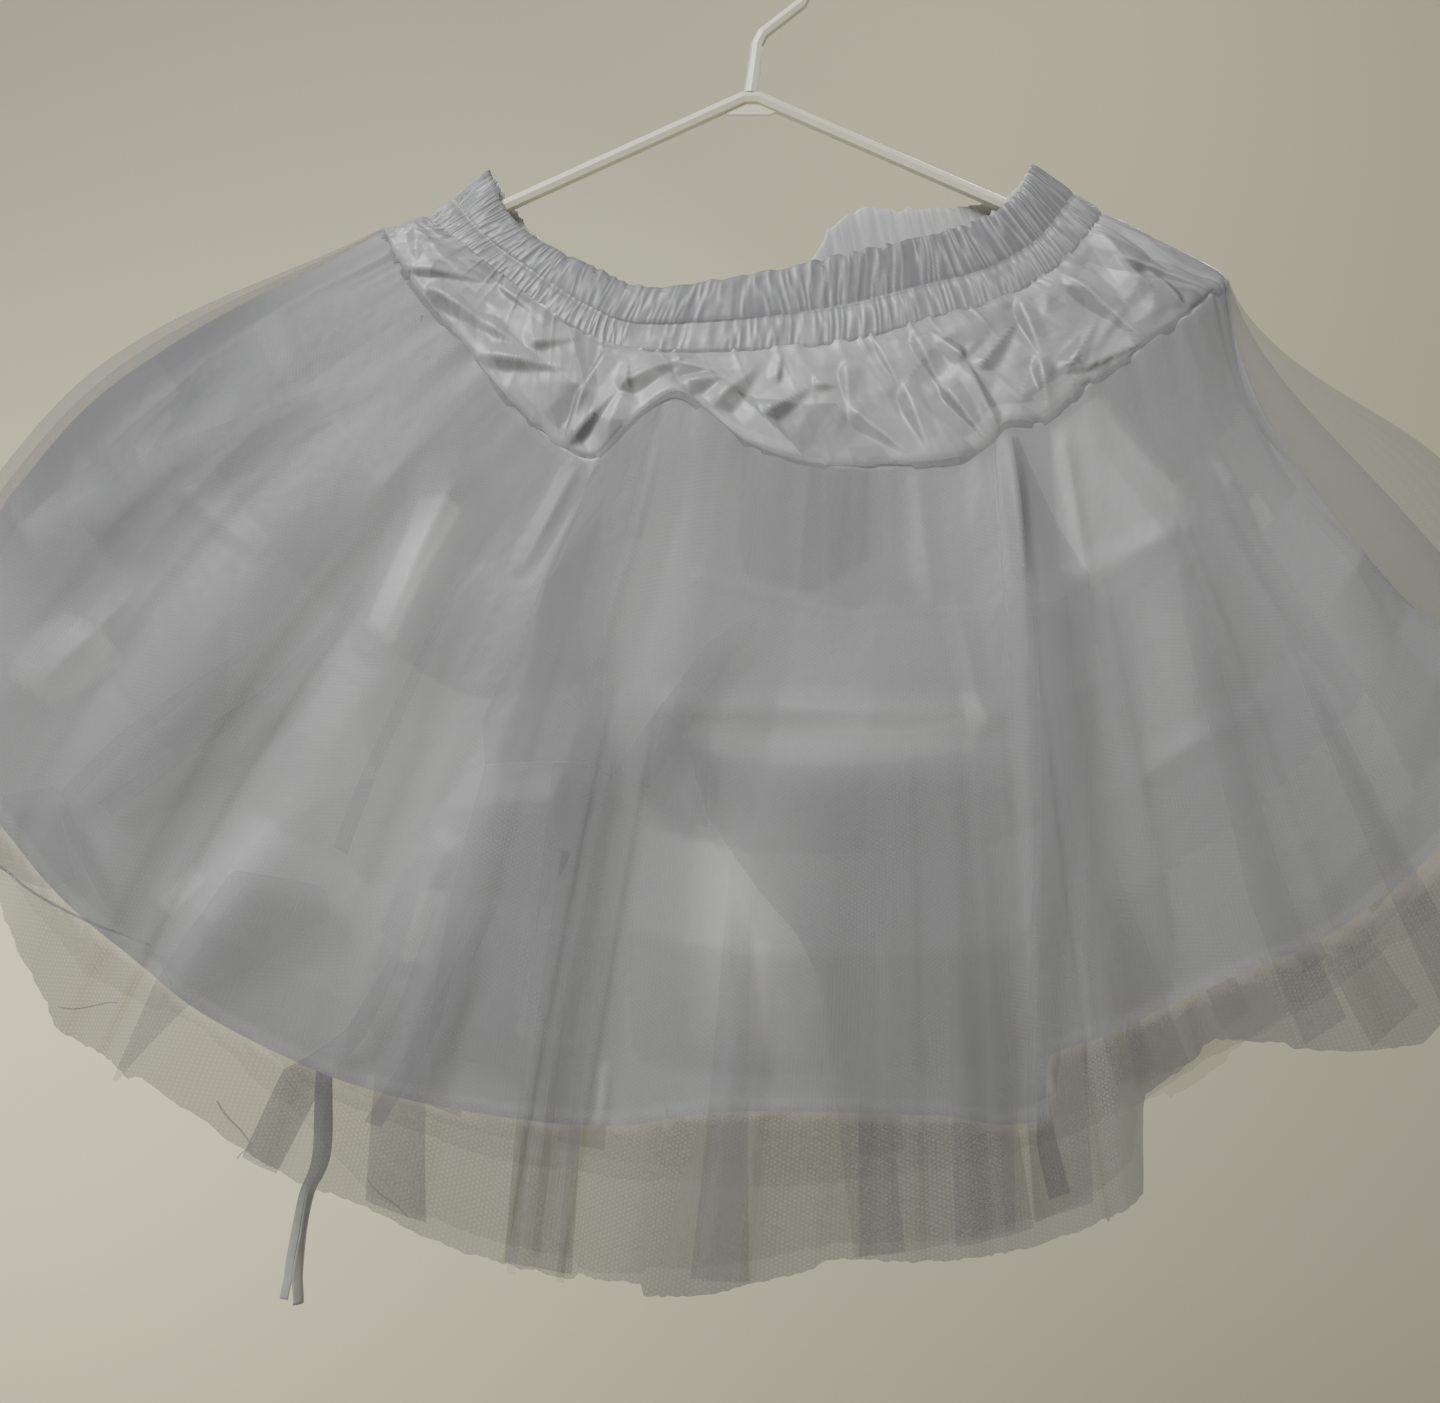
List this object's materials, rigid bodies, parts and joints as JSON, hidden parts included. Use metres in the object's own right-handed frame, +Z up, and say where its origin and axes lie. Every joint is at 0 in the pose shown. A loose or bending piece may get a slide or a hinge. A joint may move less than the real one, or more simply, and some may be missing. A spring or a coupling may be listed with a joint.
{
  "type": "ballet tutu skirt on a clothes hanger",
  "caption": "White ballet tutu skirt: gathered satin waistband, yoke and lining under two layers of pleated net, hung flat on a tube clothes hanger.",
  "frame": {"origin": "inside top of the hanger's hook, where a rail or peg carries it", "axes": "+Z up, +X along the hanger's arms towards the skirt's right in a front view, the front faces -Y"},
  "size_m": [1.0746, 0.2057, 0.8429],
  "materials": {
    "hanger_plastic": "satin off-white",
    "white_satin": "glossy satin weave",
    "white_net": "sheer nylon net",
    "white_tape": "matte woven tape"
  },
  "bodies": {
    "root": {"hanger": "hanger_plastic", "waistband_front": "white_satin", "waistband_back": "white_satin", "yoke_front": "white_satin", "yoke_back": "white_satin", "lining_front": "white_satin", "lining_back": "white_satin", "inner_net_front": "white_net", "inner_net_back": "white_net", "outer_net_front": "white_net", "outer_net_back": "white_net", "hanging_tape": "white_tape"}
  },
  "joints": []
}
